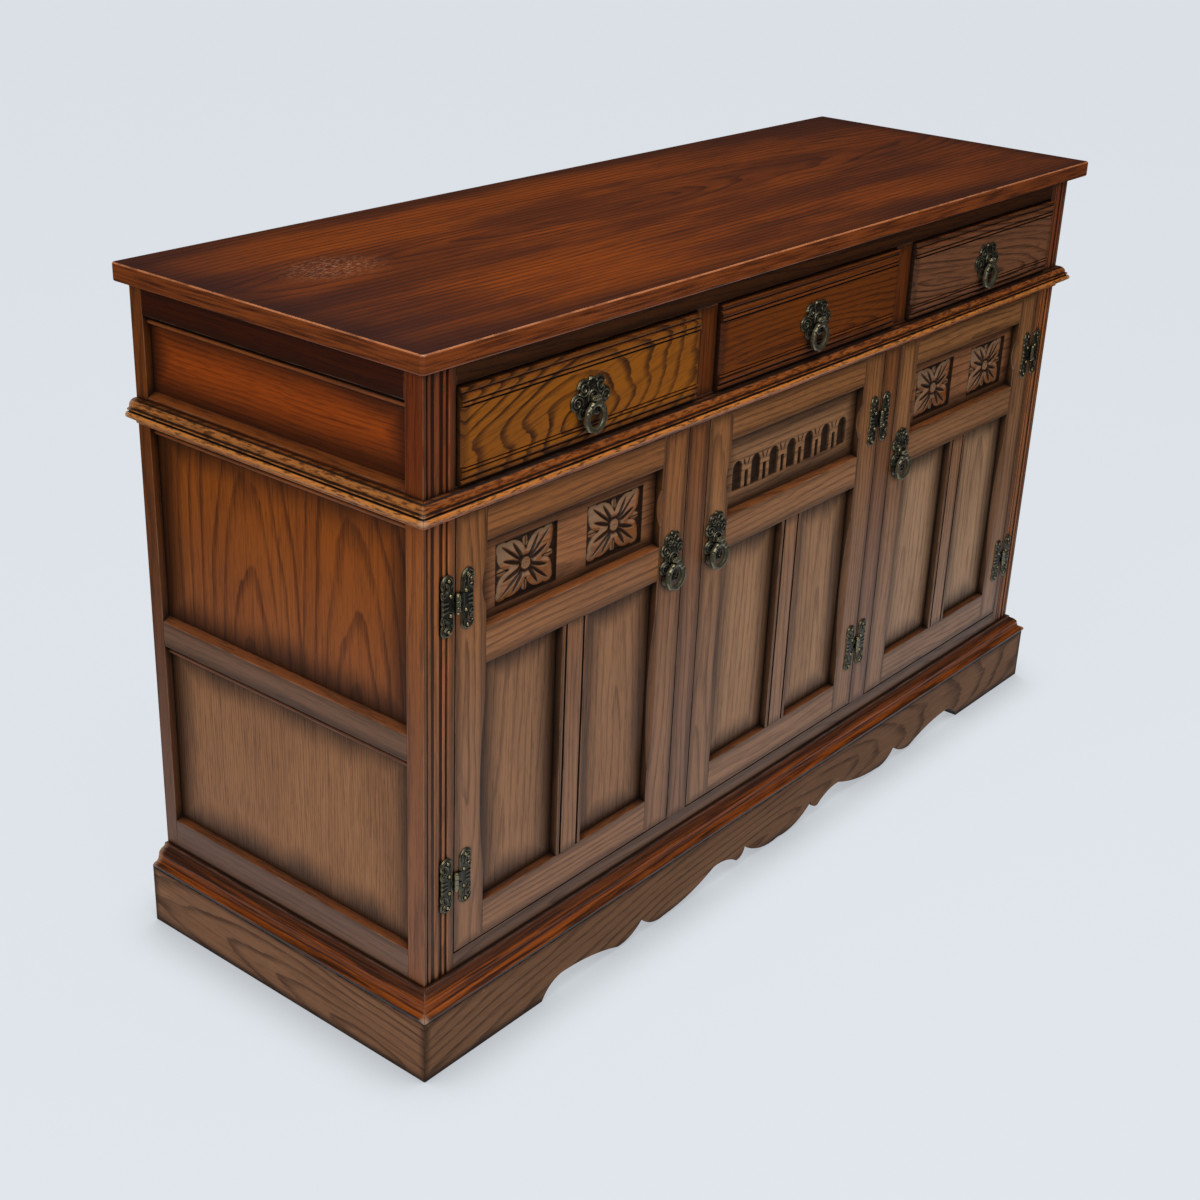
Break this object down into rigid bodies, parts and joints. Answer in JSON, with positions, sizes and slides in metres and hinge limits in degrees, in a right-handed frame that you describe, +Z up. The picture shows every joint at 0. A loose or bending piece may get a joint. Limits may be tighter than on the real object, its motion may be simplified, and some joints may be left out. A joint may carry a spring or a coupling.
{
  "type": "sideboard",
  "caption": "Low stained-oak sideboard with reeded drawers over panelled doors, carved upper panels, ring pulls and a shaped plinth.",
  "frame": {"origin": "on the floor, at the middle of the base moulding's outline", "axes": "+X along the front to the right seen from the front, -Y out of the front, +Z up"},
  "size_m": [1.392, 0.472, 0.84],
  "materials": {
    "stained_oak": "dark stained oak under satin lacquer",
    "panel_oak": "stained oak veneer, darker at the borders",
    "inner_wood": "plain sealed wood inside",
    "thin_ply": "thin plywood, sealed",
    "antique_bronze": "dark antique bronze, rubbed bright on the high spots"
  },
  "bodies": {
    "root": {"top_board": "stained_oak", "front_posts": "stained_oak", "rear_posts": "stained_oak", "front_top_rail": "stained_oak", "front_waist_rail": "stained_oak", "front_bottom_rail": "stained_oak", "drawer_muntins": "stained_oak", "door_muntins": "stained_oak", "side_rails": "stained_oak", "side_panels": "panel_oak", "panel_beads": "stained_oak", "waist_moulding": "stained_oak", "base_moulding": "stained_oak", "plinth_front": "stained_oak", "plinth_sides": "stained_oak", "plinth_back": "stained_oak", "plinth_blocks": "inner_wood", "back_rails": "inner_wood", "back_panel": "thin_ply", "cupboard_floor": "inner_wood", "dust_board": "thin_ply", "partitions": "inner_wood", "shelves": "inner_wood", "shelf_battens": "inner_wood", "drawer_runners": "inner_wood", "kicker_rails": "inner_wood", "drawer_guides": "inner_wood", "door_catches": "inner_wood", "hinge_frame_leaves": "antique_bronze"},
    "door_left": {"door_left_frame": "stained_oak", "door_left_carved_panel": "panel_oak", "door_left_lower_panels": "panel_oak", "door_left_hinge_leaves": "antique_bronze", "door_left_handle_plate": "antique_bronze"},
    "door_left_pull": {"door_left_ring": "antique_bronze"},
    "door_centre": {"door_centre_frame": "stained_oak", "door_centre_carved_panel": "panel_oak", "door_centre_lower_panels": "panel_oak", "door_centre_hinge_leaves": "antique_bronze", "door_centre_handle_plate": "antique_bronze"},
    "door_centre_pull": {"door_centre_ring": "antique_bronze"},
    "door_right": {"door_right_frame": "stained_oak", "door_right_carved_panel": "panel_oak", "door_right_lower_panels": "panel_oak", "door_right_hinge_leaves": "antique_bronze", "door_right_handle_plate": "antique_bronze"},
    "door_right_pull": {"door_right_ring": "antique_bronze"},
    "drawer_left": {"drawer_left_front": "stained_oak", "drawer_left_box": "inner_wood", "drawer_left_handle_plate": "antique_bronze"},
    "drawer_left_pull": {"drawer_left_ring": "antique_bronze"},
    "drawer_centre": {"drawer_centre_front": "stained_oak", "drawer_centre_box": "inner_wood", "drawer_centre_handle_plate": "antique_bronze"},
    "drawer_centre_pull": {"drawer_centre_ring": "antique_bronze"},
    "drawer_right": {"drawer_right_front": "stained_oak", "drawer_right_box": "inner_wood", "drawer_right_handle_plate": "antique_bronze"},
    "drawer_right_pull": {"drawer_right_ring": "antique_bronze"}
  },
  "joints": [
    {"name": "door_left_swing", "type": "hinge", "parent": "root", "child": "door_left", "pos_m": [-0.6254, -0.2153, 0.39], "axis": [0, 0, -1], "range_deg": [0, 165]},
    {"name": "door_left_pull_swing", "type": "hinge", "parent": "door_left", "child": "door_left_pull", "pos_m": [-0.25895, -0.221, 0.497], "axis": [-1, 0, 0], "range_deg": [0, 95]},
    {"name": "door_centre_swing", "type": "hinge", "parent": "root", "child": "door_centre", "pos_m": [0.19515, -0.2153, 0.39], "axis": [0, 0, 1], "range_deg": [0, 115]},
    {"name": "door_centre_pull_swing", "type": "hinge", "parent": "door_centre", "child": "door_centre_pull", "pos_m": [-0.1713, -0.221, 0.497], "axis": [-1, 0, 0], "range_deg": [0, 95]},
    {"name": "door_right_swing", "type": "hinge", "parent": "root", "child": "door_right", "pos_m": [0.6254, -0.2153, 0.39], "axis": [0, 0, 1], "range_deg": [0, 165]},
    {"name": "door_right_pull_swing", "type": "hinge", "parent": "door_right", "child": "door_right_pull", "pos_m": [0.25895, -0.221, 0.497], "axis": [-1, 0, 0], "range_deg": [0, 95]},
    {"name": "drawer_left_slide", "type": "slide", "parent": "root", "child": "drawer_left", "axis": [0, -1, 0], "range_m": [0, 0.3]},
    {"name": "drawer_left_pull_swing", "type": "hinge", "parent": "drawer_left", "child": "drawer_left_pull", "pos_m": [-0.43025, -0.229, 0.73775], "axis": [-1, 0, 0], "range_deg": [0, 95]},
    {"name": "drawer_centre_slide", "type": "slide", "parent": "root", "child": "drawer_centre", "axis": [0, -1, 0], "range_m": [0, 0.3]},
    {"name": "drawer_centre_pull_swing", "type": "hinge", "parent": "drawer_centre", "child": "drawer_centre_pull", "pos_m": [0, -0.229, 0.73775], "axis": [-1, 0, 0], "range_deg": [0, 95]},
    {"name": "drawer_right_slide", "type": "slide", "parent": "root", "child": "drawer_right", "axis": [0, -1, 0], "range_m": [0, 0.3]},
    {"name": "drawer_right_pull_swing", "type": "hinge", "parent": "drawer_right", "child": "drawer_right_pull", "pos_m": [0.43025, -0.229, 0.73775], "axis": [-1, 0, 0], "range_deg": [0, 95]}
  ]
}
